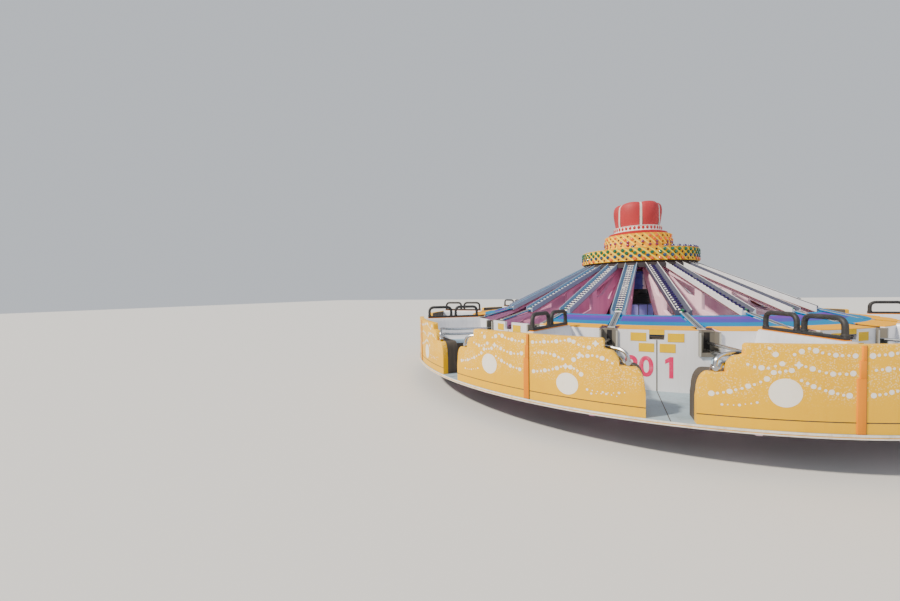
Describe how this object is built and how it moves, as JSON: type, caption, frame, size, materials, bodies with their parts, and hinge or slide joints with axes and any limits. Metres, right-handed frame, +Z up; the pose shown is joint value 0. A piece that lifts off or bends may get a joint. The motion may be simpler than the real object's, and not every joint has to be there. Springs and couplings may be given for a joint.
{
  "type": "spinning wheel fairground ride",
  "caption": "Round fairground ride with back-to-back tubs on a spinning wheel, sloping lit sweeps, lap bars and a crown on top, on a fixed mast and base.",
  "frame": {"origin": "on the ground under the middle of the wheel, at the centre of the base plate's underside", "axes": "+Z up along the mast; +X along the seat back of the first pair of tubs, level; -Y through the middle of a step-in gap"},
  "size_m": [9.06, 9.06, 3.3839],
  "materials": {
    "ground_steel": "worn satin paint",
    "shroud_blue": "faded satin paint",
    "mast_navy": "satin paint",
    "drive_black": "greasy matt paint",
    "hub_steel": "matt paint with dust",
    "sweep_pink": "sun-bleached pink paint",
    "channel_grey": "worn blue-grey paint",
    "band_stripes": "purple, cyan and gold stripes, faded",
    "wall_white": "white gel coat, slightly dirty",
    "floor_white": "worn paint with scuffs",
    "tub_white": "white and grey gel coat",
    "panel_yellow": "yellow gel coat with white dots",
    "bar_chrome": "dull chrome with light scratches",
    "crown_yellow": "yellow lattice paint with coloured lamps",
    "jewel_white": "white with red ovals",
    "crown_red": "faded coral red with silver ribs"
  },
  "bodies": {
    "base": {"base_frame": "ground_steel", "mast_shroud": "shroud_blue", "mast": "mast_navy", "drive_unit": "drive_black"},
    "wheel": {"wheel_hub": "hub_steel", "sweep_frame_01": "sweep_pink", "sweep_frame_02": "sweep_pink", "sweep_frame_03": "sweep_pink", "sweep_frame_04": "sweep_pink", "light_channels_01": "channel_grey", "light_channels_02": "channel_grey", "light_channels_03": "channel_grey", "light_channels_04": "channel_grey", "striped_band": "band_stripes", "inner_wall": "wall_white", "floor_ring": "floor_white", "seat_pair_01": "tub_white", "seat_pair_02": "tub_white", "seat_pair_03": "tub_white", "seat_pair_04": "tub_white", "seat_pair_05": "tub_white", "seat_pair_06": "tub_white", "seat_pair_07": "tub_white", "seat_pair_08": "tub_white", "seat_pair_09": "tub_white", "seat_pair_10": "tub_white", "outer_panel_01": "panel_yellow", "outer_panel_02": "panel_yellow", "outer_panel_03": "panel_yellow", "outer_panel_04": "panel_yellow", "outer_panel_05": "panel_yellow", "outer_panel_06": "panel_yellow", "outer_panel_07": "panel_yellow", "outer_panel_08": "panel_yellow", "outer_panel_09": "panel_yellow", "outer_panel_10": "panel_yellow", "crown_lower_drum": "crown_yellow", "crown_upper_drum": "crown_yellow", "jewel_band": "jewel_white", "crown_cap": "crown_red"},
    "lap_bar_01": {"lap_bar_01": "bar_chrome"},
    "lap_bar_02": {"lap_bar_02": "bar_chrome"},
    "lap_bar_03": {"lap_bar_03": "bar_chrome"},
    "lap_bar_04": {"lap_bar_04": "bar_chrome"},
    "lap_bar_05": {"lap_bar_05": "bar_chrome"},
    "lap_bar_06": {"lap_bar_06": "bar_chrome"},
    "lap_bar_07": {"lap_bar_07": "bar_chrome"},
    "lap_bar_08": {"lap_bar_08": "bar_chrome"},
    "lap_bar_09": {"lap_bar_09": "bar_chrome"},
    "lap_bar_10": {"lap_bar_10": "bar_chrome"},
    "lap_bar_11": {"lap_bar_11": "bar_chrome"},
    "lap_bar_12": {"lap_bar_12": "bar_chrome"},
    "lap_bar_13": {"lap_bar_13": "bar_chrome"},
    "lap_bar_14": {"lap_bar_14": "bar_chrome"},
    "lap_bar_15": {"lap_bar_15": "bar_chrome"},
    "lap_bar_16": {"lap_bar_16": "bar_chrome"},
    "lap_bar_17": {"lap_bar_17": "bar_chrome"},
    "lap_bar_18": {"lap_bar_18": "bar_chrome"},
    "lap_bar_19": {"lap_bar_19": "bar_chrome"},
    "lap_bar_20": {"lap_bar_20": "bar_chrome"}
  },
  "joints": [
    {"name": "wheel_spin", "type": "hinge", "parent": "base", "child": "wheel", "pos_m": [0, 0, 2], "axis": [0, 0, 1], "continuous": true},
    {"name": "lap_bar_01_hinge", "type": "hinge", "parent": "wheel", "child": "lap_bar_01", "pos_m": [4.34649, 1.0435, 0.915], "axis": [-0.9877, -0.1564, 0], "range_deg": [0, 20]},
    {"name": "lap_bar_02_hinge", "type": "hinge", "parent": "wheel", "child": "lap_bar_02", "pos_m": [4.34649, -1.0435, 0.915], "axis": [0.9877, -0.1564, 0], "range_deg": [0, 20]},
    {"name": "lap_bar_03_hinge", "type": "hinge", "parent": "wheel", "child": "lap_bar_03", "pos_m": [2.90303, 3.39901, 0.915], "axis": [-0.7071, -0.7071, 0], "range_deg": [0, 20]},
    {"name": "lap_bar_04_hinge", "type": "hinge", "parent": "wheel", "child": "lap_bar_04", "pos_m": [4.12974, 1.71059, 0.915], "axis": [0.891, 0.454, 0], "range_deg": [0, 20]},
    {"name": "lap_bar_05_hinge", "type": "hinge", "parent": "wheel", "child": "lap_bar_05", "pos_m": [0.35071, 4.45622, 0.915], "axis": [-0.1564, -0.9877, 0], "range_deg": [0, 20]},
    {"name": "lap_bar_06_hinge", "type": "hinge", "parent": "wheel", "child": "lap_bar_06", "pos_m": [2.33557, 3.8113, 0.915], "axis": [0.454, 0.891, 0], "range_deg": [0, 20]},
    {"name": "lap_bar_07_hinge", "type": "hinge", "parent": "wheel", "child": "lap_bar_07", "pos_m": [-2.33557, 3.8113, 0.915], "axis": [0.454, -0.891, 0], "range_deg": [0, 20]},
    {"name": "lap_bar_08_hinge", "type": "hinge", "parent": "wheel", "child": "lap_bar_08", "pos_m": [-0.35071, 4.45622, 0.915], "axis": [-0.1564, 0.9877, 0], "range_deg": [0, 20]},
    {"name": "lap_bar_09_hinge", "type": "hinge", "parent": "wheel", "child": "lap_bar_09", "pos_m": [-4.12974, 1.71059, 0.915], "axis": [0.891, -0.454, 0], "range_deg": [0, 20]},
    {"name": "lap_bar_10_hinge", "type": "hinge", "parent": "wheel", "child": "lap_bar_10", "pos_m": [-2.90303, 3.39901, 0.915], "axis": [-0.7071, 0.7071, 0], "range_deg": [0, 20]},
    {"name": "lap_bar_11_hinge", "type": "hinge", "parent": "wheel", "child": "lap_bar_11", "pos_m": [-4.34649, -1.0435, 0.915], "axis": [0.9877, 0.1564, 0], "range_deg": [0, 20]},
    {"name": "lap_bar_12_hinge", "type": "hinge", "parent": "wheel", "child": "lap_bar_12", "pos_m": [-4.34649, 1.0435, 0.915], "axis": [-0.9877, 0.1564, 0], "range_deg": [0, 20]},
    {"name": "lap_bar_13_hinge", "type": "hinge", "parent": "wheel", "child": "lap_bar_13", "pos_m": [-2.90303, -3.39901, 0.915], "axis": [0.7071, 0.7071, 0], "range_deg": [0, 20]},
    {"name": "lap_bar_14_hinge", "type": "hinge", "parent": "wheel", "child": "lap_bar_14", "pos_m": [-4.12974, -1.71059, 0.915], "axis": [-0.891, -0.454, 0], "range_deg": [0, 20]},
    {"name": "lap_bar_15_hinge", "type": "hinge", "parent": "wheel", "child": "lap_bar_15", "pos_m": [-0.35071, -4.45622, 0.915], "axis": [0.1564, 0.9877, 0], "range_deg": [0, 20]},
    {"name": "lap_bar_16_hinge", "type": "hinge", "parent": "wheel", "child": "lap_bar_16", "pos_m": [-2.33557, -3.8113, 0.915], "axis": [-0.454, -0.891, 0], "range_deg": [0, 20]},
    {"name": "lap_bar_17_hinge", "type": "hinge", "parent": "wheel", "child": "lap_bar_17", "pos_m": [2.33557, -3.8113, 0.915], "axis": [-0.454, 0.891, 0], "range_deg": [0, 20]},
    {"name": "lap_bar_18_hinge", "type": "hinge", "parent": "wheel", "child": "lap_bar_18", "pos_m": [0.35071, -4.45622, 0.915], "axis": [0.1564, -0.9877, 0], "range_deg": [0, 20]},
    {"name": "lap_bar_19_hinge", "type": "hinge", "parent": "wheel", "child": "lap_bar_19", "pos_m": [4.12974, -1.71059, 0.915], "axis": [-0.891, 0.454, 0], "range_deg": [0, 20]},
    {"name": "lap_bar_20_hinge", "type": "hinge", "parent": "wheel", "child": "lap_bar_20", "pos_m": [2.90303, -3.39901, 0.915], "axis": [0.7071, -0.7071, 0], "range_deg": [0, 20]}
  ]
}
